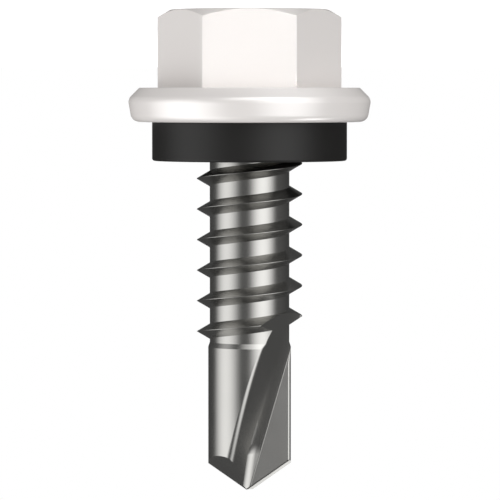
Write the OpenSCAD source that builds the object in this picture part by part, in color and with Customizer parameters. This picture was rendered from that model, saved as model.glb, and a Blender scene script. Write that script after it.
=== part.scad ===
// Self-drilling screw: a hexagon head with a forged flange, a coarse thread, a two-flute drill
// point and a sealing washer held under the flange. It stands on its head with the point up. The
// origin is in the middle of the head's flat top, +Z runs along the axis to the tip, and two of
// the hexagon's flats face -Y and +Y.

/* [Hexagon] */
// Width across the flats
hex_af = 9.45; // [8:0.05:10.5]
// Height from the flat top to the flange
hex_h = 4.62; // [3:0.02:7]
// How far the edge of the round flat top lies inside the flats
hex_top_inset = 0.01; // [0:0.01:0.5]
// Slope of the chamfer that takes off the six corners
hex_chamfer_deg = 30; // [15:1:45]

/* [Flange] */
// Diameter at the widest place of the rim
flange_d = 14.34; // [13:0.02:18]
// Thickness
flange_t = 2.02; // [1.8:0.02:3]
// Width of the sloping band outside the flange's flat top
flange_slope_w = 0.64; // [0.5:0.02:1]
// Slope of that band
flange_slope_deg = 45; // [35:1:55]
// Radius of the rim
rim_r = 0.47; // [0.3:0.01:0.6]
// Angle at which the rim draws in towards the washer
rim_draft_deg = 10; // [2:1:15]
// Radius of the edge beside the washer
foot_r = 0.5; // [0.3:0.01:0.6]

/* [Sealing washer] */
// Outer diameter
washer_d = 11.55; // [9:0.05:12.5]
// Thickness
washer_t = 2.3; // [1.5:0.05:3.5]
// Radius of the outer edge on the side of the point
washer_edge_r = 0.15; // [0.05:0.01:0.3]
// Gap between the bore and the neck of the screw
washer_gap = 0.03; // [0.01:0.01:0.2]

/* [Shank] */
// Diameter of the plain neck that the washer sits on
neck_d = 5.3; // [4.9:0.05:5.6]
// Diameter of the core between the turns of the thread
core_d = 4.72; // [4.4:0.02:4.86]
// Distance from the flange to the shoulder behind the drill point
shank_l = 13.05; // [10:0.05:40]

/* [Thread] */
// Diameter over the crests
thread_d = 6.25; // [5.8:0.05:6.6]
// Distance from one turn to the next
thread_pitch = 1.814; // [1.5:0.002:2.2]
// Angle between the flanks
thread_deg = 60; // [50:1:65]
// Width of the flat on the crest
crest_w = 0.1; // [0.04:0.01:0.2]
// Direction around the axis in which the crest comes out of the washer
thread_start_deg = 150; // [0:5:355]
// Part of the last turn over which the crest sinks into the core
runout_deg = 170; // [90:5:270]

/* [Drill point] */
// Diameter over the lands
drill_d = 4.91; // [4.86:0.01:5.4]
// Length of the slope between the core and the lands
shoulder_l = 0.29; // [0.15:0.01:1]
// Distance from the shoulder to the tip
drill_l = 8.81; // [6.5:0.05:12]
// Angle between the two cutting lips
point_deg = 110; // [100:1:125]
// Clearance angle of the end faces behind the lips
lip_clearance_deg = 34; // [20:1:40]
// Thickness of the web at the tip
web_t = 0.25; // [0.15:0.01:0.5]
// Length of each flute along its valley
flute_l = 11.2; // [8:0.1:13]
// Angle between the flutes' valleys and the axis
flute_deg = 16.25; // [14:0.25:20]
// Angle at which the flute's wall leaves the valley
flute_valley_deg = 40; // [30:1:45]
// Angle of the wall further out
flute_wall_deg = 56; // [50:1:65]
// Radius of the hollow between those two
flute_hollow_r = 3.5; // [2:0.1:5]
// Length of the wall from the valley to the rounded heel
flute_wall_l = 2.45; // [2.2:0.05:3]
// Radius of the heel
heel_r = 0.7; // [0.3:0.05:1]

/* [Hidden] */

// Levels along the axis, from the head to the tip
flange_z = hex_h;
washer_z = flange_z + flange_t;
thread_z = washer_z + washer_t;
shoulder_z = washer_z + shank_l;
lands_z = shoulder_z + shoulder_l;
tip_z = shoulder_z + drill_l;

// The tip of the blank stands proud by this much before it is ground
blank_spare = 1;
round_fn = 96;

// Points along an arc, from one direction seen from its centre to another
arc_steps = 8;
function arc(centre, r, from_deg, to_deg) =
    [
        for (i = [0 : arc_steps])
            let (deg = from_deg + (to_deg - from_deg) * i / arc_steps)
                centre + r * [cos(deg), sin(deg)]
    ];

// Outline of the flange: arcs for the rim and the foot, and a drafted side tangent to both
flange_r = flange_d / 2;
flange_flat_r = flange_r - flange_slope_w;
rim = [
    flange_r - rim_r,
    flange_z + (flange_slope_w - rim_r) * tan(flange_slope_deg) + rim_r / cos(flange_slope_deg)
];
foot_z = washer_z - foot_r;
foot = [
    rim.x + (rim_r - foot_r) / cos(rim_draft_deg) - (foot_z - rim.y) * tan(rim_draft_deg),
    foot_z
];

// The ridge of the thread is a strip with four corners, swept round the axis with its base sunk
// into the core. It starts below the washer's face, where it is cut off flat.
segment_deg = 7.5;
ridge_sink = 0.15;
ridge_base_r = core_d / 2 - ridge_sink;
ridge_end_r = core_d / 2 - ridge_sink / 3;
flank_slope = tan(thread_deg / 2);
ridge_half_w = crest_w / 2 + (thread_d / 2 - ridge_base_r) * flank_slope;
ridge_from_deg = thread_start_deg - 360 * ridge_half_w / thread_pitch;
ridge_to_deg = thread_start_deg + 360 * (lands_z - thread_z) / thread_pitch;
ridge_steps = ceil((ridge_to_deg - ridge_from_deg) / segment_deg);
ridge_step_deg = (ridge_to_deg - ridge_from_deg) / ridge_steps;

function crest_z(turn_deg) = thread_z + thread_pitch * (turn_deg - thread_start_deg) / 360;

function crest_r(turn_deg) =
    ridge_end_r + (thread_d / 2 - ridge_end_r) * min(1, (ridge_to_deg - turn_deg) / runout_deg);

function at(r, turn_deg, z) = [r * cos(turn_deg), r * sin(turn_deg), z];

function ridge_corners(turn_deg) =
    let (
        z = crest_z(turn_deg),
        r = crest_r(turn_deg),
        base_half_w = crest_w / 2 + (r - ridge_base_r) * flank_slope
    )
    [
        at(ridge_base_r, turn_deg, z - base_half_w),
        at(r, turn_deg, z - crest_w / 2),
        at(r, turn_deg, z + crest_w / 2),
        at(ridge_base_r, turn_deg, z + base_half_w)
    ];

// One face of the ridge between two neighbouring strips, as two triangles
function ridge_face(step, corner) =
    let (
        a = 4 * step + corner,
        b = 4 * step + (corner + 1) % 4
    )
    [[a, b, b + 4], [a, b + 4, a + 4]];

// Section of one flute, square to its valley: the rake face runs out along -X, and the wall is
// hollow beside the valley and straight further out. The heel is rounded on the lands, and the
// thread is cut by the straight wall alone.
flute_reach = thread_d;
flute_past_tip = 2;
valley = [0, -web_t / 2];
hollow_centre = valley - flute_hollow_r * [sin(flute_valley_deg), cos(flute_valley_deg)];
hollow = arc(hollow_centre, flute_hollow_r, 90 - flute_valley_deg, 90 - flute_wall_deg);
hollow_l = flute_hollow_r * (flute_wall_deg - flute_valley_deg) * PI / 180;
wall_heading = [cos(flute_wall_deg), -sin(flute_wall_deg)];
wall_end = hollow[arc_steps] + (flute_wall_l - hollow_l) * wall_heading;
heel_centre = wall_end + heel_r * [sin(flute_wall_deg), cos(flute_wall_deg)];
rounded_heel = arc(heel_centre, heel_r, 270 - flute_wall_deg, 270);
sharp_heel = [wall_end + flute_reach * wall_heading];

function flute_section(heel) =
    let (
        heel_end = heel[len(heel) - 1],
        outer_y = heel_end.y - flute_reach
    )
    concat(
        hollow,
        heel,
        [[heel_end.x, outer_y], [-flute_reach, outer_y], [-flute_reach, valley.y]]
    );

// The end faces fall away from the tip along the lips and, more, behind them
lip_fall = tan(90 - point_deg / 2);
clearance_fall = tan(lip_clearance_deg);
end_face_deg = atan(sqrt(pow(lip_fall, 2) + pow(clearance_fall, 2)));
end_face_turn_deg = -atan2(clearance_fall, lip_fall);
end_cut = 2 * drill_d;

module hexagon_prism() {
    hex_corner_r = hex_af / 2 / cos(30);
    top_r = hex_af / 2 - hex_top_inset;
    corner_fall = (hex_corner_r - top_r) * tan(hex_chamfer_deg);
    intersection() {
        cylinder(r = hex_corner_r, h = hex_h, $fn = 6);
        union() {
            cylinder(r1 = top_r, r2 = hex_corner_r, h = corner_fall, $fn = round_fn);
            translate([0, 0, corner_fall])
                cylinder(r = hex_af, h = hex_h, $fn = round_fn);
        }
    }
}

module flange() {
    rotate_extrude($fn = round_fn)
        polygon(concat(
            [[0, washer_z], [0, flange_z], [flange_flat_r, flange_z]],
            arc(rim, rim_r, flange_slope_deg - 90, rim_draft_deg),
            arc(foot, foot_r, rim_draft_deg, 90)
        ));
}

module shank_blank() {
    translate([0, 0, washer_z])
        cylinder(d = neck_d, h = washer_t, $fn = round_fn);
    rotate_extrude($fn = round_fn)
        polygon([
            [0, washer_z],
            [core_d / 2, washer_z],
            [core_d / 2, shoulder_z],
            [drill_d / 2, lands_z],
            [drill_d / 2, tip_z + blank_spare],
            [0, tip_z + blank_spare]
        ]);
}

module thread_ridge() {
    last = 4 * ridge_steps;
    intersection() {
        polyhedron(
            points = [
                for (i = [0 : ridge_steps])
                    each ridge_corners(ridge_from_deg + i * ridge_step_deg)
            ],
            faces = concat(
                [[2, 1, 0], [3, 2, 0]],
                [for (i = [0 : ridge_steps - 1]) for (k = [0 : 3]) each ridge_face(i, k)],
                [[last, last + 1, last + 2], [last, last + 2, last + 3]]
            )
        );
        translate([0, 0, thread_z])
            cylinder(d = 2 * thread_d, h = shank_l, $fn = round_fn);
    }
}

module flute_cuts(heel) {
    for (turn_deg = [0, 180])
        rotate([0, 0, turn_deg])
            translate([0, 0, tip_z])
                rotate([0, flute_deg, 0])
                    translate([0, 0, -flute_l])
                        linear_extrude(flute_l + flute_past_tip)
                            polygon(flute_section(heel));
}

module end_face_cuts() {
    for (turn_deg = [0, 180])
        translate([0, 0, tip_z])
            rotate([0, 0, end_face_turn_deg + turn_deg])
                rotate([0, end_face_deg, 0])
                    translate([-end_cut / 2, -end_cut / 2, 0])
                        cube(end_cut);
}

module screw() {
    color("gainsboro") {
        hexagon_prism();
        flange();
        difference() {
            shank_blank();
            flute_cuts(rounded_heel);
            end_face_cuts();
        }
        difference() {
            thread_ridge();
            flute_cuts(sharp_heel);
        }
    }
}

module sealing_washer() {
    edge = [washer_d / 2 - washer_edge_r, thread_z - washer_edge_r];
    bore_r = neck_d / 2 + washer_gap;
    color("dimgray")
        rotate_extrude($fn = round_fn)
            polygon(concat(
                [[bore_r, thread_z], [bore_r, washer_z], [washer_d / 2, washer_z]],
                arc(edge, washer_edge_r, 0, 90)
            ));
}

screw();
sealing_washer();
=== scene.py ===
"""Dresses the self drilling screw: painted head, plated shank with its drill point, rubber washer."""

import math

import bmesh
import bpy
from mathutils import Matrix, Vector


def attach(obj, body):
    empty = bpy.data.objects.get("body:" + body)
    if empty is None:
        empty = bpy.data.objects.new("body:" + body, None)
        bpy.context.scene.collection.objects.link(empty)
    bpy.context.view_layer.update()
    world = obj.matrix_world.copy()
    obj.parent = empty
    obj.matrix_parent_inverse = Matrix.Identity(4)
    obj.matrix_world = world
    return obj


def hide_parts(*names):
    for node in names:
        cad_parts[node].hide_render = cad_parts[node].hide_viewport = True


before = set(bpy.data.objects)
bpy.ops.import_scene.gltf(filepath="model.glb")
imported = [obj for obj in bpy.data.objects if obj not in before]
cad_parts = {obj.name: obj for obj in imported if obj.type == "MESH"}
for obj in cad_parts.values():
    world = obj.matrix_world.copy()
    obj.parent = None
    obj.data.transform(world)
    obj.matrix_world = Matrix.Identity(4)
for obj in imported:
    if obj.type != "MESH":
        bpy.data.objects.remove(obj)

bl_info = {
    "name": "Self Drilling Screw",
    "version": (1, 0, 0),
    "blender": (4, 5, 0),
    "location": "View3D > Sidebar > Screw",
    "description": "Models a self drilling screw with a painted head and a rubber sealing washer",
    "category": "Add Mesh",
}

AXIS = Vector((0, 0, 1))
MERGE_DISTANCE = 0.0005  # mm, while a piece is modelled with one unit to a millimetre
TO_METRES = 0.001
ROUND_STEPS = 180  # steps round a turned piece
UPRIGHT = 0.02  # a face whose normal rises or falls by less than this share of its length is upright
HALF_SIDE = math.radians(30)  # half the angle that one side of the hexagon spans
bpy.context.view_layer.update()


def mm(length):
    """A size kept in metres, in the millimetres that the pieces are modelled in."""
    return length / TO_METRES


def colour(hex_text):
    """Linear colour of an sRGB hex value such as D8D4D0."""
    channels = [int(hex_text[i:i + 2], 16) / 255 for i in (0, 2, 4)]
    linear = [c / 12.92 if c <= 0.04045 else ((c + 0.055) / 1.055) ** 2.4 for c in channels]
    return (*linear, 1.0)


def length(name, description, millimetres):
    """A length that the user can change, given in millimetres and kept in metres."""
    return bpy.props.FloatProperty(
        name=name,
        description=description,
        default=millimetres * TO_METRES,
        precision=5,
        unit="LENGTH",
    )


def angle(name, description, degrees):
    """An angle that the user can change, given in degrees."""
    return bpy.props.FloatProperty(
        name=name, description=description, default=math.radians(degrees), unit="ROTATION"
    )


def tint(name, description, hex_text):
    """A colour that the user can change, given as an sRGB hex value."""
    return bpy.props.FloatVectorProperty(
        name=name,
        description=description,
        default=colour(hex_text),
        size=4,
        min=0.0,
        max=1.0,
        subtype="COLOR",
    )


class HeadSizes(bpy.types.PropertyGroup):
    """Sizes of the hexagon and its flange."""

    across_flats: length("Across flats", "Width of the hexagon across its flats", 9.45)
    height: length("Hexagon height", "From the flat top to the flange", 4.62)
    top_radius: length("Top radius", "Radius of the round flat top", 4.66)
    top_edge: length("Top edge", "Radius of the edge round the flat top", 0.3)
    chamfer: angle("Chamfer", "Slope of the chamfer that takes off the corners", 30)
    corner: length("Corners", "Radius of the hexagon's upright edges under the paint", 0.08)
    brow: length("Brows", "Width of the rounding between a flat and the chamfer", 0.035)
    foot_fillet: length("Foot fillet", "Width of the paint fillet at the foot of the hexagon", 0.03)
    flange_radius: length("Flange radius", "Radius at the widest place of the rim", 7.17)
    flange_thickness: length("Flange thickness", "From the flange's flat top to the washer", 2.02)
    slope_width: length("Slope width", "Width of the sloping band outside the flat top", 0.64)
    slope: angle("Slope", "Slope of that band", 45)
    slope_edge: length("Slope edge", "Radius of the edge between the flat top and that band", 0.12)
    rim: length("Rim", "Radius of the rim", 0.47)
    draft: angle("Draft", "Angle at which the rim draws in towards the washer", 10)
    foot: length("Foot", "Radius of the edge beside the washer", 0.5)


class WasherSizes(bpy.types.PropertyGroup):
    """Sizes of the rubber sealing washer."""

    radius: length("Radius", "Outer radius of the washer", 5.775)
    thickness: length("Thickness", "Thickness of the washer", 2.3)
    bore: length("Bore radius", "Radius of the hole round the neck", 2.68)
    edge: length("Outer edge", "Radius of the outer edge on the side of the point", 0.15)
    lip: length("Other edges", "Radius of the other edges", 0.05)


class ShankSizes(bpy.types.PropertyGroup):
    """Sizes of the neck, the thread and the drill point."""

    neck: length("Neck radius", "Radius of the plain neck inside the washer", 2.65)
    core: length("Core radius", "Radius between the turns of the thread", 2.36)
    crest: length("Crest radius", "Radius over the crests of the thread", 3.125)
    pitch: length("Pitch", "Distance from one turn to the next", 1.814)
    crest_width: length("Crest width", "Width of the rounded crest", 0.024)
    crest_edge: length("Crest edge", "Radius of the crest's two edges", 0.012)
    flank: angle("Flank", "Angle between a flank and a plane square to the axis", 30)
    start: angle("Thread start", "Direction in which the crest leaves the washer", 150)
    runout: angle("Run-out", "Part of the last turn over which the crest sinks into the core", 170)
    shoulder: length("Shoulder place", "From the flange to the shoulder", 13.05)
    shoulder_length: length("Shoulder length", "Length of the slope between core and lands", 0.29)
    drill: length("Drill radius", "Radius over the lands", 2.455)
    drill_length: length("Drill length", "From the shoulder to the tip", 8.81)
    point: angle("Point", "Angle between the two cutting lips", 110)
    clearance: angle("Clearance", "Fall of the end faces behind the lips", 34)
    web: length("Web", "Thickness of the web at the tip", 0.25)
    flute_length: length("Flute length", "Length of a flute along its valley", 11.2)
    flute: angle("Flute angle", "Angle between a flute's valley and the axis", 16.25)
    valley: angle("Valley angle", "Angle at which the wall leaves the valley", 40)
    wall: angle("Wall angle", "Angle of the wall further out", 56)
    hollow: length("Hollow", "Radius of the hollow between those two", 3.5)
    heel: length("Heel", "Radius of the heel, from the wall to the land", 0.42)
    edge: length("Edge rounding", "Radius of the edge between a rake face and its land", 0.2)
    grind: length("Grind", "How far past the tip the two end faces would meet", 0.05)
    step: length("Lip step", "Width of the facet between a rake face and the bevel of its lip", 0.095)
    step_tilt: angle("Step tilt", "Angle between that facet and the rake face", 31)
    bevel: length("Lip bevel", "Width of the bevel along each cutting lip", 0.27)
    bevel_tilt: angle("Bevel tilt", "Angle between that bevel and the rake face", 50)
    root: length("Valley rounding", "Radius at the bottom of a valley", 0.04)
    gash: length("Gash", "Radius of the hollow that thins the web at the tip", 0.9)
    gash_length: length("Gash length", "From the tip to where that hollow starts to run out", 2.1)
    gash_lean: angle("Gash lean", "Angle between that hollow and the axis", 8)
    gash_wheel: length("Gash wheel", "Radius of the wheel that the hollow runs out along", 2.0)
    gash_side: length("Gash side", "From the axis to the edge of the hollow's flat", 0.065)
    gash_rise: length("Gash rise", "How far that flat lies in front of the rake face", 0.045)


class Finishes(bpy.types.PropertyGroup):
    """Colours of the three finishes."""

    zinc: tint("Zinc", "Colour of the bright zinc plating", "B5B4B1")
    paint: tint("Paint", "Colour of the powder coat on the head", "F7F2EF")
    rubber: tint("Rubber", "Colour of the sealing washer", "191817")


class Studio(bpy.types.PropertyGroup):
    """Camera and light of the stage."""

    camera_distance: length("Camera distance", "From the screw's axis to the camera", 213.6)
    camera_height: length("Camera height", "Height of the camera over the floor", 4.85)
    camera_side: length("Camera side", "How far the camera stands to the side", -0.027)
    aim_height: length("Aim height", "Height of the point in the middle of the picture", 14.24)
    view: angle("Field of view", "Angle that the picture spans", 7.94)
    floor_size: length("Floor size", "Side of the floor", 3000)


def start_afresh():
    """Leaves edit mode and deselects everything, because operators act on what is selected."""
    if bpy.context.object and bpy.context.object.mode != "OBJECT":
        bpy.ops.object.mode_set(mode="OBJECT")
    bpy.ops.object.select_all(action="DESELECT")


def activate_only(piece):
    """Makes one piece active, and the only one selected."""
    start_afresh()
    bpy.context.view_layer.objects.active = piece
    piece.select_set(True)


def open_mesh(piece):
    """Makes one piece active and opens its mesh."""
    activate_only(piece)
    bpy.ops.object.mode_set(mode="EDIT")


def name_new(name):
    """Names the object that an operator has just added."""
    piece = bpy.context.object
    piece.name = piece.data.name = name
    return piece


def pick(piece, kind, wanted):
    """In edit mode, selects the vertices, edges or faces that pass the test."""
    bpy.ops.mesh.select_mode(type=kind)
    bpy.ops.mesh.select_all(action="DESELECT")
    shape = bmesh.from_edit_mesh(piece.data)
    parts = {"VERT": shape.verts, "EDGE": shape.edges, "FACE": shape.faces}[kind]
    found = [part for part in parts if wanted(part)]
    if not found:
        raise RuntimeError(f"{piece.name}: nothing to select")
    for part in found:
        part.select_set(True)
    bmesh.update_edit_mesh(piece.data)


def lies_at(part, height):
    """Whether a whole edge or face lies at one height."""
    return all(abs(v.co.z - height) < MERGE_DISTANCE for v in part.verts)


def beside_upright(edge, least):
    """Whether one face beside an edge is upright, and the normal of the other one rises or falls
    by at least a share of its length."""
    rises = sorted(abs(face.normal.z) for face in edge.link_faces)
    return len(rises) == 2 and rises[0] < UPRIGHT and rises[1] > least


def select_mesh():
    """In edit mode, selects the whole mesh."""
    bpy.ops.mesh.select_all(action="SELECT")


def extrude(step):
    """In edit mode, extrudes what is selected by one step."""
    bpy.ops.mesh.extrude_region_move(TRANSFORM_OT_translate={"value": step})


def bevel_edges(width, steps):
    """In edit mode, rounds the selected edges, each by a width measured along its faces."""
    bpy.ops.mesh.bevel(offset_type="OFFSET", offset=width, segments=steps, affect="EDGES")


def merge_doubles(distance=MERGE_DISTANCE):
    """In edit mode, merges the points that lie within a distance of each other."""
    select_mesh()
    bpy.ops.mesh.remove_doubles(threshold=distance)


def cut_level(height, **side):
    """In edit mode, cuts the mesh level at a height, clears one side and closes the cut."""
    select_mesh()
    bpy.ops.mesh.bisect(plane_co=(0, 0, height), plane_no=AXIS, use_fill=True, **side)


def face_outwards():
    """In edit mode, turns every face of a closed shape outwards."""
    select_mesh()
    bpy.ops.mesh.normals_make_consistent(inside=False)


def draw_outline(name, corners):
    """Draws a closed outline through the corners, one extruded vertex after another, and fills it."""
    start_afresh()
    bpy.ops.mesh.primitive_plane_add(size=1.0)
    piece = name_new(name)
    bpy.ops.object.mode_set(mode="EDIT")
    bpy.ops.mesh.select_mode(type="VERT")
    select_mesh()
    bpy.ops.mesh.merge(type="CENTER")
    bpy.ops.transform.translate(value=corners[0])
    for here, there in zip(corners, corners[1:]):
        extrude(there - here)
    select_mesh()
    bpy.ops.mesh.edge_face_add()
    return piece


def round_corner(piece, place, radius, steps):
    """Rounds one corner of a filled outline to a radius."""
    pick(piece, "VERT", lambda v: (v.co - place).length < MERGE_DISTANCE)
    corner = next(v for v in bmesh.from_edit_mesh(piece.data).verts if v.select)
    ways = [edge.other_vert(corner).co - corner.co for edge in corner.link_edges]
    tangent = radius / math.tan(ways[0].angle(ways[1]) / 2)
    bpy.ops.mesh.bevel(offset_type="OFFSET", offset=tangent, segments=steps, affect="VERTICES")


def turn_solid():
    """Turns the filled outline that is open, in the XZ plane, into a closed round solid."""
    select_mesh()
    bpy.ops.mesh.delete(type="ONLY_FACE")
    select_mesh()
    bpy.ops.mesh.spin(
        steps=ROUND_STEPS, angle=2 * math.pi, center=(0, 0, 0), axis=AXIS, use_auto_merge=True
    )
    merge_doubles()
    face_outwards()


def place(piece, matrix):
    """Moves a piece and keeps the place in its mesh."""
    activate_only(piece)
    piece.matrix_world = matrix
    bpy.ops.object.transform_apply(location=True, rotation=True, scale=True)


def combine(piece, tool, operation):
    """Joins a second solid to the piece, or cuts with it, and removes the second solid."""
    activate_only(piece)
    step = piece.modifiers.new(operation.title(), "BOOLEAN")
    step.object = tool
    step.operation = operation
    step.solver = "EXACT"
    bpy.ops.object.modifier_apply(modifier=step.name)
    piece.select_set(False)
    tool.select_set(True)
    bpy.ops.object.delete()


def finish_piece(piece, material, node, smooth_angle):
    """Shades a finished piece, brings it to metres, and ties it to the frame."""
    open_mesh(piece)
    merge_doubles()
    bpy.ops.mesh.delete_loose()
    face_outwards()
    activate_only(piece)
    bpy.ops.object.shade_smooth_by_angle(angle=smooth_angle)
    weights = piece.modifiers.new("Weighted normals", "WEIGHTED_NORMAL")
    weights.keep_sharp = True
    bpy.ops.object.modifier_apply(modifier=weights.name)
    place(piece, Matrix.Scale(TO_METRES, 4))
    piece.data.materials.clear()
    piece.data.materials.append(material)
    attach(piece, "root")
    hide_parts(node)


def arc(centre, radius, start, end, steps):
    """Points along an arc in the XY plane, between two directions seen from its centre."""
    turns = [start + (end - start) * i / steps for i in range(steps + 1)]
    return [centre + radius * Vector((math.cos(t), math.sin(t), 0)) for t in turns]


def add_node(tree, kind, links=(), **settings):
    """Adds a shader node. Settings name its properties or its inputs, and links join its inputs."""
    node = tree.nodes.new(kind)
    for key, value in settings.items():
        if hasattr(node, key):
            setattr(node, key, value)
        else:
            node.inputs[key.replace("_", " ")].default_value = value
    for socket, source in links:
        tree.links.new(source, node.inputs[socket])
    return node


def new_material(name):
    """An empty material and its node tree."""
    material = bpy.data.materials.new(name)
    material.use_nodes = True
    material.node_tree.nodes.clear()
    return material, material.node_tree


def bright_zinc_plating(finishes):
    """Bright zinc plating on cold-formed steel: a soft mirror with faint lines round the shank."""
    material, tree = new_material("bright_zinc_plating")
    where = add_node(tree, "ShaderNodeTexCoord")
    # Rolling leaves lines round the shank, drawn 0.1 mm apart, which is as fine as the render shows
    rings = add_node(
        tree, "ShaderNodeMapping", [("Vector", where.outputs["Object"])], Scale=(200, 200, 10000)
    )
    lines = add_node(
        tree, "ShaderNodeTexNoise", [("Vector", rings.outputs["Vector"])], Scale=1.0, Detail=2.0
    )
    # The plating itself clouds over about two millimetres
    clouds = add_node(
        tree, "ShaderNodeTexNoise", [("Vector", where.outputs["Object"])], Scale=500.0, Detail=1.0
    )
    gloss = add_node(
        tree,
        "ShaderNodeMapRange",
        [("Value", clouds.outputs["Fac"])],
        From_Min=0.3,
        From_Max=0.7,
        To_Min=0.235,
        To_Max=0.265,
    )
    relief = add_node(
        tree, "ShaderNodeBump", [("Height", lines.outputs["Fac"])], Strength=0.02, Distance=0.00001
    )
    metal = add_node(
        tree,
        "ShaderNodeBsdfPrincipled",
        [("Roughness", gloss.outputs["Result"]), ("Normal", relief.outputs["Normal"])],
        Base_Color=finishes.zinc,
        Metallic=1.0,
    )
    add_node(tree, "ShaderNodeOutputMaterial", [("Surface", metal.outputs["BSDF"])])
    return material


def grained_finish(name, base, scale, detail, strength, height, smoothest, roughest, ior):
    """A finish that is not metal. Its fine grain stands up a little and varies its gloss."""
    material, tree = new_material(name)
    where = add_node(tree, "ShaderNodeTexCoord")
    grain = add_node(
        tree, "ShaderNodeTexNoise", [("Vector", where.outputs["Object"])], Scale=scale, Detail=detail
    )
    relief = add_node(
        tree, "ShaderNodeBump", [("Height", grain.outputs["Fac"])], Strength=strength, Distance=height
    )
    shades = add_node(
        tree,
        "ShaderNodeMapRange",
        [("Value", grain.outputs["Fac"])],
        To_Min=smoothest,
        To_Max=roughest,
    )
    surface = add_node(
        tree,
        "ShaderNodeBsdfPrincipled",
        [("Roughness", shades.outputs["Result"]), ("Normal", relief.outputs["Normal"])],
        Base_Color=base,
        IOR=ior,
    )
    add_node(tree, "ShaderNodeOutputMaterial", [("Surface", surface.outputs["BSDF"])])
    return material


def white_powder_coat(finishes):
    """Semi-gloss polyester powder coat: white, slightly warm, with a very fine orange peel."""
    return grained_finish(
        "white_powder_coat",
        finishes.paint,
        scale=2500.0,  # orange peel about 0.4 mm across
        detail=1.0,
        strength=0.04,
        height=0.00001,
        smoothest=0.2,
        roughest=0.24,
        ior=2.8,
    )


def black_epdm(finishes):
    """Moulded EPDM rubber: black and satin, with a fine even grain."""
    return grained_finish(
        "black_epdm_rubber",
        finishes.rubber,
        scale=12000.0,  # grain of the mould, 0.08 mm across, as fine as the render shows
        detail=2.0,
        strength=0.08,
        height=0.00002,
        smoothest=0.4,
        roughest=0.5,
        ior=1.42,
    )


class SCREW_OT_painted_head(bpy.types.Operator):
    """Model the hexagon and the flange under the white powder coat"""

    bl_idname = "screw.painted_head"
    bl_label = "Painted Head"

    def execute(self, context):
        sizes = context.scene.head_sizes
        hexagon = self.hexagon(sizes)
        flange = self.flange(sizes)
        combine(hexagon, flange, "UNION")
        self.fillet_foot(hexagon, sizes)
        finish_piece(
            hexagon,
            white_powder_coat(context.scene.finishes),
            "screw",
            smooth_angle=math.radians(16),
        )
        return {"FINISHED"}

    def hexagon(self, sizes):
        """A hexagonal prism whose corners are taken off by a chamfer round the flat top."""
        corner_radius = mm(sizes.across_flats) / 2 / math.cos(HALF_SIDE)
        spare = 0.5
        tall = mm(sizes.height) + 2 * spare
        start_afresh()
        bpy.ops.mesh.primitive_cylinder_add(
            vertices=6, radius=corner_radius, depth=tall, location=(0, 0, tall / 2 - spare)
        )
        prism = name_new("painted_head")
        place(prism, prism.matrix_world.copy())
        # Blender puts a corner on the Y axis, where two of the flats belong
        place(prism, Matrix.Rotation(HALF_SIDE, 4, "Z"))
        open_mesh(prism)
        pick(prism, "EDGE", lambda e: abs(e.verts[0].co.z - e.verts[1].co.z) > spare)
        bevel_edges(mm(sizes.corner) * math.tan(HALF_SIDE), steps=6)
        top = mm(sizes.top_radius)
        reach = 2 * corner_radius
        fall = (reach - top) * math.tan(sizes.chamfer)
        rim_top = Vector((top, 0, 0))
        form = draw_outline(
            "chamfer_form",
            [
                Vector((0, 0, 0)),
                rim_top,
                Vector((reach, 0, fall)),
                Vector((reach, 0, tall + reach)),
                Vector((0, 0, tall + reach)),
            ],
        )
        round_corner(form, rim_top, mm(sizes.top_edge), steps=3)
        turn_solid()
        combine(prism, form, "INTERSECT")
        open_mesh(prism)
        middle_z = mm(sizes.height) / 2
        pick(
            prism,
            "EDGE",
            lambda e: beside_upright(e, least=0.5) and max(v.co.z for v in e.verts) < middle_z,
        )
        bevel_edges(mm(sizes.brow), steps=5)
        return prism

    def flange(self, sizes):
        """The flange: a flat top, a sloping band, a rounded rim and a drafted side."""
        top_z = mm(sizes.height)
        foot_z = top_z + mm(sizes.flange_thickness)
        radius = mm(sizes.flange_radius)
        slope_width = mm(sizes.slope_width)
        rim_radius = mm(sizes.rim)
        flat_edge = Vector((radius - slope_width, 0, top_z))
        # The rim is round about this place, and touches the sloping band and the drafted side
        rim_fall = (slope_width - rim_radius) * math.tan(sizes.slope)
        rim_fall += rim_radius / math.cos(sizes.slope)
        rim = Vector((radius - rim_radius, 0, top_z + rim_fall))
        side = rim + rim_radius * Vector((math.cos(sizes.draft), 0, math.sin(sizes.draft)))
        down = Vector((-math.sin(sizes.draft), 0, math.cos(sizes.draft)))
        out = Vector((math.cos(sizes.slope), 0, math.sin(sizes.slope)))
        reach = side - flat_edge
        turned = out.x * down.z - out.z * down.x
        shoulder = flat_edge + out * ((reach.x * down.z - reach.z * down.x) / turned)
        foot = side + down * ((foot_z - side.z) / down.z)
        outline = draw_outline(
            "flange",
            [Vector((0, 0, top_z)), flat_edge, shoulder, foot, Vector((0, 0, foot_z))],
        )
        round_corner(outline, flat_edge, mm(sizes.slope_edge), steps=5)
        round_corner(outline, shoulder, rim_radius, steps=8)
        round_corner(outline, foot, mm(sizes.foot), steps=8)
        turn_solid()
        return outline

    def fillet_foot(self, head, sizes):
        """A small fillet of paint where the hexagon stands on the flange."""
        open_mesh(head)
        top_z = mm(sizes.height)
        pick(head, "EDGE", lambda e: lies_at(e, top_z) and beside_upright(e, least=0.98))
        bevel_edges(mm(sizes.foot_fillet), steps=7)


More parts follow.
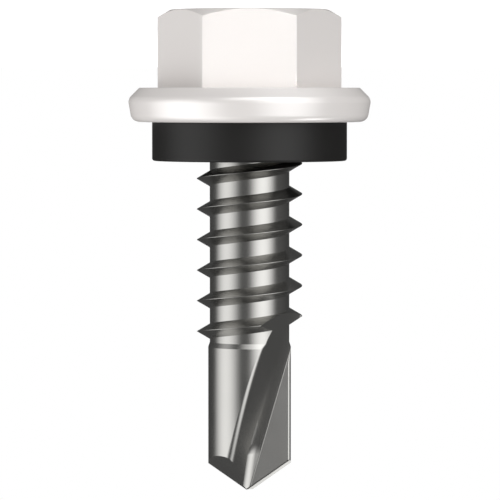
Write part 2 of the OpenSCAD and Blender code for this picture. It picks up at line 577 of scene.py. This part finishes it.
class SCREW_OT_plated_shank(bpy.types.Operator):
    """Model the neck, the thread and the drill point under the zinc plating"""

    bl_idname = "screw.plated_shank"
    bl_label = "Plated Shank"

    def execute(self, context):
        sizes = context.scene.shank_sizes
        head = context.scene.head_sizes
        self.flange_z = mm(head.height + head.flange_thickness)
        self.thread_z = self.flange_z + mm(context.scene.washer_sizes.thickness)
        self.shoulder_z = self.flange_z + mm(sizes.shoulder)
        self.lands_z = self.shoulder_z + mm(sizes.shoulder_length)
        self.tip_z = self.shoulder_z + mm(sizes.drill_length)
        # The facets take the lips back, so the end faces are ground a little further out
        self.ground_z = self.tip_z + mm(sizes.grind) + self.bevel_depth(sizes)
        shank = self.blank(sizes)
        self.grind_end_faces(shank, sizes)
        for make_cutter in (
            self.flute_cutter,
            self.gash_cutter,
            self.heel_cutter,
            self.rake_edge_cutter,
            self.lip_cutter,
        ):
            self.cut_both_sides(shank, make_cutter, sizes)
        self.blunt_tip(shank)
        ridge = self.thread_ridge(sizes)
        self.cut_both_sides(ridge, self.flute_cutter, sizes)
        combine(shank, ridge, "UNION")
        # The cuts leave slivers where they meet, which a wider merge takes away
        open_mesh(shank)
        merge_doubles(2 * MERGE_DISTANCE)
        finish_piece(
            shank,
            bright_zinc_plating(context.scene.finishes),
            "screw",
            smooth_angle=math.radians(15),
        )
        return {"FINISHED"}

    def blank(self, sizes):
        """The plain neck, the core and the drill's lands, turned in one."""
        sunk = 0.3
        spare = 1.0
        outline = draw_outline(
            "plated_shank",
            [
                Vector((0, 0, self.flange_z - sunk)),
                Vector((mm(sizes.neck), 0, self.flange_z - sunk)),
                Vector((mm(sizes.neck), 0, self.thread_z)),
                Vector((mm(sizes.core), 0, self.thread_z)),
                Vector((mm(sizes.core), 0, self.shoulder_z)),
                Vector((mm(sizes.drill), 0, self.lands_z)),
                Vector((mm(sizes.drill), 0, self.tip_z + spare)),
                Vector((0, 0, self.tip_z + spare)),
            ],
        )
        turn_solid()
        return outline

    def thread_ridge(self, sizes):
        """The ridge of the thread: its section swept up the helix, cut flat at the washer."""
        core = mm(sizes.core)
        crest = mm(sizes.crest)
        pitch = mm(sizes.pitch)
        sunk = 0.15
        base = core - sunk
        half_crest = mm(sizes.crest_width) / 2
        half_base = half_crest + (crest - base) * math.tan(sizes.flank)
        turns = math.ceil((self.lands_z - self.thread_z) / pitch) + 2
        first_z = self.thread_z - pitch * (1 + sizes.start / (2 * math.pi))
        corners = [
            Vector((base, 0, first_z - half_base)),
            Vector((crest, 0, first_z - half_crest)),
            Vector((crest, 0, first_z + half_crest)),
            Vector((base, 0, first_z + half_base)),
        ]
        ridge = draw_outline("thread_ridge", corners)
        for corner in corners[1:3]:
            round_corner(ridge, corner, mm(sizes.crest_edge), steps=2)
        select_mesh()
        bpy.ops.mesh.delete(type="ONLY_FACE")
        activate_only(ridge)
        steps = 90
        sweep = ridge.modifiers.new("Helix", "SCREW")
        sweep.axis = "Z"
        sweep.angle = 2 * math.pi
        sweep.screw_offset = pitch
        sweep.iterations = turns
        sweep.steps = sweep.render_steps = steps
        sweep.use_merge_vertices = True
        sweep.merge_threshold = MERGE_DISTANCE
        bpy.ops.object.modifier_apply(modifier=sweep.name)
        open_mesh(ridge)
        merge_doubles()
        self.sink_last_turn(ridge, sizes, base, first_z, steps)
        bpy.ops.mesh.select_mode(type="VERT")
        select_mesh()
        bpy.ops.mesh.fill_holes(sides=0)
        face_outwards()
        cut_level(self.thread_z, clear_inner=True)
        merge_doubles()
        face_outwards()
        return ridge

    def sink_last_turn(self, ridge, sizes, base, first_z, steps):
        """Shrinks the section towards its base step by step, so that the crest runs into the core."""
        pitch = mm(sizes.pitch)
        crest = mm(sizes.crest)
        sunk = 0.05
        end = mm(sizes.core) - sunk
        step_rise = pitch / steps
        step_turn = 2 * math.pi / steps
        last = round((self.lands_z - first_z) / step_rise)
        sinking = round(sizes.runout / step_turn)
        sections = {}
        shape = bmesh.from_edit_mesh(ridge.data)
        for vertex in shape.verts:
            turn = math.atan2(vertex.co.y, vertex.co.x) / step_turn
            turn += steps * round((vertex.co.z - first_z) / pitch - turn / steps)
            sections.setdefault(round(turn), []).append(vertex.index)
        for section in range(last - sinking, max(sections) + 1):
            left = max(0.0, min(1.0, (last - section) / sinking))
            size = (end + (crest - end) * left - base) / (crest - base)
            wanted = set(sections[section])
            pick(ridge, "VERT", lambda v: v.index in wanted)
            middle = Matrix.Rotation(section * step_turn, 3, "Z") @ Vector((base, 0, 0))
            middle.z = first_z + section * step_rise
            bpy.ops.transform.resize(value=(size, size, size), center_override=middle)

    def falls(self, sizes):
        """How far an end face falls for each step along its lip, and for each step behind it."""
        return math.tan(math.pi / 2 - sizes.point / 2), math.tan(sizes.clearance)

    def grind_end_faces(self, shank, sizes):
        """Takes the two end faces off the blank. They fall away along the lips and behind them."""
        lip_fall, clearance_fall = self.falls(sizes)
        fall = math.atan(math.hypot(lip_fall, clearance_fall))
        heading = -math.atan2(clearance_fall, lip_fall)
        side = 20.0
        for turn in (0, math.pi):
            start_afresh()
            bpy.ops.mesh.primitive_cube_add(size=side, location=(0, 0, side / 2))
            wheel = name_new("grinding_wheel")
            place(wheel, wheel.matrix_world.copy())
            place(
                wheel,
                Matrix.Translation((0, 0, self.ground_z))
                @ Matrix.Rotation(heading + turn, 4, "Z")
                @ Matrix.Rotation(fall, 4, "Y"),
            )
            combine(shank, wheel, "DIFFERENCE")

    def cut_both_sides(self, solid, make_cutter, sizes):
        """Cuts the solid with one cutter on the front flute's side, and with another on the back."""
        for turn in (0, math.pi):
            cutter = make_cutter(sizes)
            place(cutter, Matrix.Rotation(turn, 4, "Z"))
            combine(solid, cutter, "DIFFERENCE")

    def flute_cutter(self, sizes):
        """A bar along the front flute's valley, which leaves a flat rake face, a rounded valley, a
        hollow and a straight wall."""
        reach = 8.0
        past_tip = 2.0
        start = Vector((0, -mm(sizes.web) / 2, 0))
        radius = mm(sizes.hollow)
        centre = start - radius * Vector((math.sin(sizes.valley), math.cos(sizes.valley), 0))
        quarter = math.pi / 2
        corners = arc(centre, radius, quarter - sizes.valley, quarter - sizes.wall, steps=10)
        up_wall = Vector((math.cos(sizes.wall), -math.sin(sizes.wall), 0))
        corners.append(corners[-1] + reach * up_wall)
        outer_y = corners[-1].y - reach
        corners += [
            Vector((corners[-1].x, outer_y, 0)),
            Vector((-reach, outer_y, 0)),
            Vector((-reach, start.y, 0)),
        ]
        cutter = draw_outline("flute_cutter", corners)
        round_corner(cutter, start, mm(sizes.root), steps=5)
        select_mesh()
        extrude((0, 0, mm(sizes.flute_length) + past_tip))
        face_outwards()
        place(
            cutter,
            Matrix.Translation((0, 0, self.tip_z))
            @ Matrix.Rotation(sizes.flute, 4, "Y")
            @ Matrix.Translation((0, 0, -mm(sizes.flute_length))),
        )
        return cutter

    def gash_cutter(self, sizes):
        """A short round bar beside the valley, which thins the web at the tip. Away from the tip it
        curves out of the wall, along the path of a grinding wheel."""
        radius = mm(sizes.gash)
        wheel = mm(sizes.gash_wheel)
        past_tip = 0.6
        run_on = 2.4
        flat = 0.4
        outside = -3.0
        first, last = math.radians(87), math.radians(53)
        lean = math.tan(sizes.gash_lean)
        flat_end = Vector((-mm(sizes.gash_side), -mm(sizes.web) / 2 - mm(sizes.gash_rise), 0))
        spoke = Vector((math.cos(first), math.sin(first), 0))
        corners = arc(flat_end - radius * spoke, radius, first, last, steps=14)
        corners.insert(0, flat_end + flat * Vector((-spoke.y, spoke.x, 0)))
        corners += [Vector((corners[-1].x, outside, 0)), Vector((corners[0].x, outside, 0))]
        outline = [c + Vector((lean * past_tip, 0, self.tip_z + past_tip)) for c in corners]
        cutter = draw_outline("gash_cutter", outline)
        straight = past_tip + mm(sizes.gash_length)
        steps = [straight * Vector((-lean, 0, -1))]
        turn, turns = math.radians(2), 10
        tilts = [turn * (i + 0.5) for i in range(turns)]
        # Past the wheel's arc the hollow goes on out of the wall at the slope that it has reached
        along_flute = math.tan(sizes.flute)
        for tilt, stride in [(tilt, wheel * turn) for tilt in tilts] + [(tilts[-1], run_on)]:
            way = Vector((-along_flute * math.cos(tilt), -math.sin(tilt), -math.cos(tilt)))
            steps.append(stride * way)
        for step in steps:
            lowest = min(v.co.z for v in bmesh.from_edit_mesh(cutter.data).verts)
            pick(cutter, "FACE", lambda f: lies_at(f, lowest))
            extrude(step)
        face_outwards()
        return cutter

    def edge_cutter(self, name, sections):
        """A cutter that leaves a round edge. Each section gives its height, the flat face's outward
        direction, the way along that face to the edge, the face's place, the blank's radius and the
        edge's radius."""
        steps = 12
        spare = 0.002
        clear = 0.2
        rings = []
        for height, out, along, place_of_face, blank, radius in sections:
            inner = blank - radius
            side = math.sqrt(inner ** 2 - (place_of_face - radius) ** 2)
            middle = (place_of_face - radius) * out + side * along
            first, last = out, middle.normalized()
            turn = first.angle(last)
            edge = place_of_face * out + math.sqrt(blank ** 2 - place_of_face ** 2) * along
            corner = edge.normalized() * (blank / math.cos(last.angle(edge)) + clear)
            middle = middle + spare * (first + last)
            ring = []
            for i in range(steps + 1):
                share = i / steps
                way = (math.sin((1 - share) * turn) * first + math.sin(share * turn) * last)
                ring.append(middle + radius * way.normalized())
            ring.append(corner)
            rings.append([point + height * AXIS for point in ring])
        cutter = draw_outline(name, rings[0])
        for here, there in zip(rings, rings[1:]):
            level = here[0].z
            pick(cutter, "FACE", lambda f: lies_at(f, level))
            extrude((0, 0, there[0].z - level))
            # The new section is the old one lifted, so each of its corners still needs its own place
            shape = bmesh.from_edit_mesh(cutter.data)
            for vertex in (v for v in shape.verts if v.select):
                nearest = min(range(len(here)), key=lambda i: (here[i] - vertex.co).xy.length)
                vertex.co = there[nearest]
            bmesh.update_edit_mesh(cutter.data)
        face_outwards()
        return cutter

    def blank_radius(self, sizes, height):
        """Radius of the blank at a height: the core, the shoulder's slope or the lands."""
        share = (height - self.shoulder_z) / (self.lands_z - self.shoulder_z)
        share = max(0.0, min(1.0, share))
        return mm(sizes.core) + share * mm(sizes.drill - sizes.core)

    def heel_cutter(self, sizes):
        """A cutter that rounds the edge between the flute's wall and its land, and on up the core."""
        lean = math.tan(sizes.flute)
        stretch = 1 / math.cos(sizes.flute)
        heading = Vector((math.cos(sizes.wall) * stretch, -math.sin(sizes.wall), 0)).normalized()
        out = Vector((heading.y, -heading.x, 0))
        hollow = mm(sizes.hollow)
        wall_x = hollow * (math.sin(sizes.wall) - math.sin(sizes.valley)) * stretch
        wall_y = -mm(sizes.web) / 2 - hollow * (math.cos(sizes.valley) - math.cos(sizes.wall))
        # From the end face along the land, then over the shoulder and on along the core
        end_face, on_land, on_core = 0.9, 0.36, 0.2
        heights = [self.tip_z - end_face - on_land * i for i in range(21)]
        heights += [self.lands_z, self.shoulder_z]
        heights += [self.shoulder_z - on_core * i for i in range(1, 6)]
        sections = []
        for height in heights:
            wall = Vector((wall_x - (self.tip_z - height) * lean, wall_y, 0)).dot(out)
            blank = self.blank_radius(sizes, height)
            sections.append((height, out, heading, wall, blank, mm(sizes.heel)))
        return self.edge_cutter("heel_cutter", sections)

    def rake_edge_cutter(self, sizes):
        """A cutter that rounds the edge between the rake face and its land, less where the rake face
        narrows."""
        lean = math.tan(sizes.flute)
        front, outwards = Vector((0, -1, 0)), Vector((-1, 0, 0))
        rake_face = mm(sizes.web) / 2
        blank = mm(sizes.drill)
        reach = 8.2
        strides = 23
        width_share = 0.9  # the part of a narrow rake face that its edge may take
        sections = []
        for i in range(strides + 1):
            above = reach * i / strides
            radius = min(mm(sizes.edge), width_share * (blank - above * lean))
            sections.append((self.tip_z - above, front, outwards, rake_face, blank, radius))
        return self.edge_cutter("rake_edge_cutter", sections)

    def blunt_tip(self, shank):
        """Takes the chisel edge down to the screw's length."""
        open_mesh(shank)
        cut_level(self.tip_z, clear_outer=True)

    def lip_frame(self, sizes):
        """The way along the front lip, the way out from it across the rake face, and how far the end
        face falls inwards for each step towards the back."""
        lip_fall, clearance_fall = self.falls(sizes)
        along = Vector((-1, 0, -lip_fall)).normalized()
        outward = Vector((-lip_fall, 0, 1)).normalized()
        return along, outward, clearance_fall * outward.z

    def bevel_reach(self, sizes):
        """How far the two facets of a lip reach towards the back."""
        step_reach = mm(sizes.step) * math.sin(sizes.step_tilt)
        return step_reach + mm(sizes.bevel) * math.sin(sizes.bevel_tilt)

    def bevel_depth(self, sizes):
        """How far the two facets take a lip back, measured along the axis."""
        return self.bevel_reach(sizes) * self.falls(sizes)[1]

    def lip_cutter(self, sizes):
        """A bar along the front lip, which leaves a narrow facet and a bevel from the chisel edge to
        the land."""
        along, outward, fall = self.lip_frame(sizes)
        lip_fall, clearance_fall = self.falls(sizes)
        back = Vector((0, 1, 0))
        spare = 0.1
        clear = 0.4
        past_face = 0.01
        reach = self.bevel_reach(sizes)
        on_step, on_bevel = (
            math.cos(tilt) * outward + math.sin(tilt) * back
            for tilt in (sizes.step_tilt, sizes.bevel_tilt)
        )
        outer = reach * (back - fall * outward)
        inner = outer - mm(sizes.bevel) * on_bevel
        ring = [inner - (mm(sizes.step) + past_face) * on_step, inner, outer + spare * on_bevel]
        ring.append(ring[-1] + clear * outward)
        ring.append(ring[-1] - (reach + clear) * back)
        ring.append(ring[0] - clear * back)
        chisel_x = -mm(sizes.web) / 2 * clearance_fall / lip_fall
        start = Vector((chisel_x, -mm(sizes.web) / 2, self.ground_z)) - spare * along
        cutter = draw_outline("lip_cutter", [start + point for point in ring])
        select_mesh()
        extrude(along * 2 * mm(sizes.drill))
        face_outwards()
        return cutter


class SCREW_OT_sealing_washer(bpy.types.Operator):
    """Model the rubber washer between the flange and the thread"""

    bl_idname = "screw.sealing_washer"
    bl_label = "Sealing Washer"

    def execute(self, context):
        sizes = context.scene.washer_sizes
        head = context.scene.head_sizes
        near_z = mm(head.height + head.flange_thickness)
        far_z = near_z + mm(sizes.thickness)
        outer, inner = mm(sizes.radius), mm(sizes.bore)
        corners = [
            Vector((inner, 0, near_z)),
            Vector((outer, 0, near_z)),
            Vector((outer, 0, far_z)),
            Vector((inner, 0, far_z)),
        ]
        washer = draw_outline("rubber_washer", corners)
        round_corner(washer, corners[2], mm(sizes.edge), steps=6)
        for corner in (corners[0], corners[1], corners[3]):
            round_corner(washer, corner, mm(sizes.lip), steps=3)
        turn_solid()
        finish_piece(
            washer,
            black_epdm(context.scene.finishes),
            "sealing_washer",
            smooth_angle=math.radians(40),
        )
        return {"FINISHED"}


class SCREW_OT_stage(bpy.types.Operator):
    """Set up the pale floor, the studio light and the camera"""

    bl_idname = "screw.stage"
    bl_label = "Stage"

    def execute(self, context):
        studio = context.scene.studio
        self.floor(studio)
        self.backdrop(studio)
        self.surroundings(context)
        # Softboxes: name, azimuth and height of their direction, angles that they span, brightness.
        # Azimuth runs from the camera towards +X.
        self.softbox("left_softbox", 70, 22, 61, 86, 1.6)
        self.softbox("right_softbox", -39, -4, 56, 61, 1.9)
        for lamp in (
            self.softbox("head_softbox", -30, -50, 66, 40, 2.1),
            self.softbox("top_softbox", -115, -68, 45, 40, 0.5),
            self.softbox("rim_softbox", -102, 55, 22, 18, 2.7),
        ):
            lamp.visible_diffuse = False
        fill = self.softbox("top_fill", 0, -90, 60, 60, 0.6)
        fill.visible_glossy = False
        self.front_light(context)
        self.camera(context, studio)
        return {"FINISHED"}

    def floor(self, studio):
        """A pale floor, white to the camera, that keeps the shadow. Light from below passes it."""
        start_afresh()
        bpy.ops.mesh.primitive_plane_add(size=studio.floor_size)
        floor = name_new("floor")
        material, tree = new_material("pale_floor")
        rays = add_node(tree, "ShaderNodeLightPath")
        matt = add_node(tree, "ShaderNodeBsdfDiffuse", Color=colour("D9D9D9"))
        # Near the screw the glow leaves room for the shadow, and further out it is white by itself
        near, far = 0.04, 0.25
        where = add_node(tree, "ShaderNodeTexCoord")
        span = add_node(
            tree, "ShaderNodeVectorMath", [("Vector", where.outputs["Object"])], operation="LENGTH"
        )
        level = add_node(
            tree,
            "ShaderNodeMapRange",
            [("Value", span.outputs["Value"])],
            interpolation_type="SMOOTHSTEP",
            From_Min=near,
            From_Max=far,
            To_Min=0.66,
            To_Max=1.0,
        )
        seen = add_node(
            tree,
            "ShaderNodeMath",
            [(0, level.outputs["Result"]), (1, rays.outputs["Is Camera Ray"])],
            operation="MULTIPLY",
        )
        glow = add_node(tree, "ShaderNodeEmission", [("Strength", seen.outputs["Value"])])
        both = add_node(
            tree, "ShaderNodeAddShader", [(0, matt.outputs["BSDF"]), (1, glow.outputs["Emission"])]
        )
        add_node(tree, "ShaderNodeOutputMaterial", [("Surface", both.outputs["Shader"])])
        floor.data.materials.append(material)
        floor.visible_glossy = False
        floor.visible_diffuse = False
        floor.visible_shadow = False

    def backdrop(self, studio):
        """A white card behind the screw, as large as the picture there. The metal mirrors it too."""
        behind = 0.5
        side = 2 * (behind + studio.camera_distance) * math.tan(studio.view / 2)
        start_afresh()
        bpy.ops.mesh.primitive_plane_add(
            size=side, location=(0, behind, side / 2), rotation=(math.pi / 2, 0, 0)
        )
        card = name_new("backdrop")
        material, tree = new_material("white_card")
        rays = add_node(tree, "ShaderNodeLightPath")
        seen = add_node(
            tree,
            "ShaderNodeMath",
            [(0, rays.outputs["Is Camera Ray"]), (1, rays.outputs["Is Glossy Ray"])],
            operation="MAXIMUM",
        )
        also = add_node(
            tree,
            "ShaderNodeMath",
            [(0, seen.outputs["Value"]), (1, rays.outputs["Is Transmission Ray"])],
            operation="MAXIMUM",
        )
        glow = add_node(tree, "ShaderNodeEmission", [("Strength", also.outputs["Value"])])
        add_node(tree, "ShaderNodeOutputMaterial", [("Surface", glow.outputs["Emission"])])
        card.data.materials.append(material)
        card.visible_diffuse = False
        card.visible_shadow = False

    def surroundings(self, context):
        """White behind the object for the camera, and a dim room for everything else."""
        world = bpy.data.worlds.new("studio_room")
        context.scene.world = world
        world.use_nodes = True
        tree = world.node_tree
        tree.nodes.clear()
        rays = add_node(tree, "ShaderNodeLightPath")
        # Gloss sees a dark room, darker still behind the screw, and matt surfaces see pale walls
        dark_room, behind_screw, pale_walls = 0.12, 0.075, 0.43
        where = add_node(tree, "ShaderNodeTexCoord")
        way = add_node(tree, "ShaderNodeSeparateXYZ", [("Vector", where.outputs["Generated"])])
        gloom = add_node(
            tree,
            "ShaderNodeMapRange",
            [("Value", way.outputs["Y"])],
            From_Min=0.3,
            From_Max=0.8,
            To_Min=dark_room,
            To_Max=behind_screw,
        )
        level = add_node(
            tree,
            "ShaderNodeMapRange",
            [("Value", rays.outputs["Is Diffuse Ray"]), ("To Min", gloom.outputs["Result"])],
            To_Max=pale_walls,
        )
        room = add_node(
            tree, "ShaderNodeBackground", [("Strength", level.outputs["Result"])], Color=(1, 1, 1, 1)
        )
        white = add_node(tree, "ShaderNodeBackground", Color=(1, 1, 1, 1), Strength=1.0)
        mix = add_node(
            tree,
            "ShaderNodeMixShader",
            [
                ("Fac", rays.outputs["Is Camera Ray"]),
                (1, room.outputs["Background"]),
                (2, white.outputs["Background"]),
            ],
        )
        add_node(tree, "ShaderNodeOutputWorld", [("Surface", mix.outputs["Shader"])])

    def area_lamp(self, name, location, rotation, width, height, watts):
        """A rectangular lamp that the camera doesn't see."""
        start_afresh()
        bpy.ops.object.light_add(type="AREA", location=location)
        lamp = name_new(name)
        lamp.rotation_euler = rotation
        lamp.data.shape = "RECTANGLE"
        lamp.data.size = width
        lamp.data.size_y = height
        lamp.data.energy = watts
        lamp.visible_camera = False
        return lamp

    def softbox(self, name, azimuth, rise, wide, high, brightness):
        """A softbox that faces the screw. It is bright in its middle and fades towards its edges,
        and the angles that it spans are measured where it has half its brightness."""
        middle = Vector((0, 0, 0.013))
        distance = 0.5
        # Shares of the softbox's width where it starts to fade and where it ends
        even, dark = 0.03, 0.5
        turn, lift = math.radians(azimuth), math.radians(rise)
        out = math.cos(lift)
        way = Vector((math.sin(turn) * out, -math.cos(turn) * out, math.sin(lift)))
        half_bright = (even + dark) / 2
        width, height = (
            distance * math.tan(math.radians(span) / 2) / half_bright for span in (wide, high)
        )
        lamp = self.area_lamp(
            name,
            middle + distance * way,
            way.to_track_quat("Z", "Y").to_euler(),
            width,
            height,
            watts=brightness * math.pi * width * height,
        )
        lamp.data.use_nodes = True
        tree = lamp.data.node_tree
        tree.nodes.clear()
        where = add_node(tree, "ShaderNodeNewGeometry")
        from_middle = add_node(
            tree, "ShaderNodeVectorMath", [(0, where.outputs["Parametric"])], operation="DISTANCE"
        )
        from_middle.inputs[1].default_value = (0.5, 0.5, 0.0)
        fade = add_node(
            tree,
            "ShaderNodeMapRange",
            [("Value", from_middle.outputs["Value"])],
            interpolation_type="SMOOTHSTEP",
            From_Min=even,
            From_Max=dark,
            To_Min=1.0,
            To_Max=0.0,
        )
        cloth = add_node(tree, "ShaderNodeEmission", [("Strength", fade.outputs["Result"])])
        add_node(tree, "ShaderNodeOutputLight", [("Surface", cloth.outputs["Emission"])])
        return lamp

    def front_light(self, context):
        """A narrow beam on the hexagon's front flat alone, which makes it the whitest face."""
        head = context.scene.head_sizes
        distance = 0.1
        watts_per_area = 0.84
        width = head.across_flats * math.tan(HALF_SIDE)
        lamp = self.area_lamp(
            "front_light",
            (0, -distance, head.height / 2),
            (math.pi / 2, 0, 0),
            width,
            head.height,
            watts=watts_per_area * width * head.height,
        )
        lamp.data.spread = math.radians(0.5)
        lamp.visible_glossy = False

    def camera(self, context, studio):
        """The camera level with the flange, rolled over so that the head is at the top."""
        start_afresh()
        eye = Vector((studio.camera_side, -studio.camera_distance, studio.camera_height))
        aim = Vector((studio.camera_side, 0, studio.aim_height))
        bpy.ops.object.camera_add(location=eye)
        camera = name_new("camera")
        look = (aim - eye).to_track_quat("-Z", "Y").to_matrix().to_4x4()
        camera.matrix_world = Matrix.Translation(eye) @ look @ Matrix.Rotation(math.pi, 4, "Z")
        camera.data.sensor_width = 36.0
        camera.data.lens = camera.data.sensor_width / 2 / math.tan(studio.view / 2)
        camera.data.clip_start = 0.01
        camera.data.clip_end = 20.0
        context.scene.camera = camera
        context.scene.view_settings.view_transform = "Standard"


class SCREW_PT_sidebar(bpy.types.Panel):
    """Lists the steps that model the screw."""

    bl_label = "Self Drilling Screw"
    bl_idname = "SCREW_PT_sidebar"
    bl_space_type = "VIEW_3D"
    bl_region_type = "UI"
    bl_category = "Screw"

    def draw(self, context):
        for step in STEPS:
            self.layout.operator(step.bl_idname)
        for group in ("head_sizes", "washer_sizes", "shank_sizes", "finishes", "studio"):
            box = self.layout.box()
            settings = getattr(context.scene, group)
            for name in settings.__annotations__:
                box.prop(settings, name)


STEPS = (
    SCREW_OT_painted_head,
    SCREW_OT_plated_shank,
    SCREW_OT_sealing_washer,
    SCREW_OT_stage,
)
GROUPS = {
    "head_sizes": HeadSizes,
    "washer_sizes": WasherSizes,
    "shank_sizes": ShankSizes,
    "finishes": Finishes,
    "studio": Studio,
}


def register():
    for kind in (*GROUPS.values(), *STEPS, SCREW_PT_sidebar):
        bpy.utils.register_class(kind)
    for name, group in GROUPS.items():
        setattr(bpy.types.Scene, name, bpy.props.PointerProperty(type=group))


def unregister():
    for name in GROUPS:
        delattr(bpy.types.Scene, name)
    for kind in (SCREW_PT_sidebar, *reversed(STEPS), *reversed(GROUPS.values())):
        bpy.utils.unregister_class(kind)


def main():
    register()
    bpy.ops.screw.painted_head()
    bpy.ops.screw.plated_shank()
    bpy.ops.screw.sealing_washer()
    bpy.ops.screw.stage()


if __name__ == "__main__":
    main()
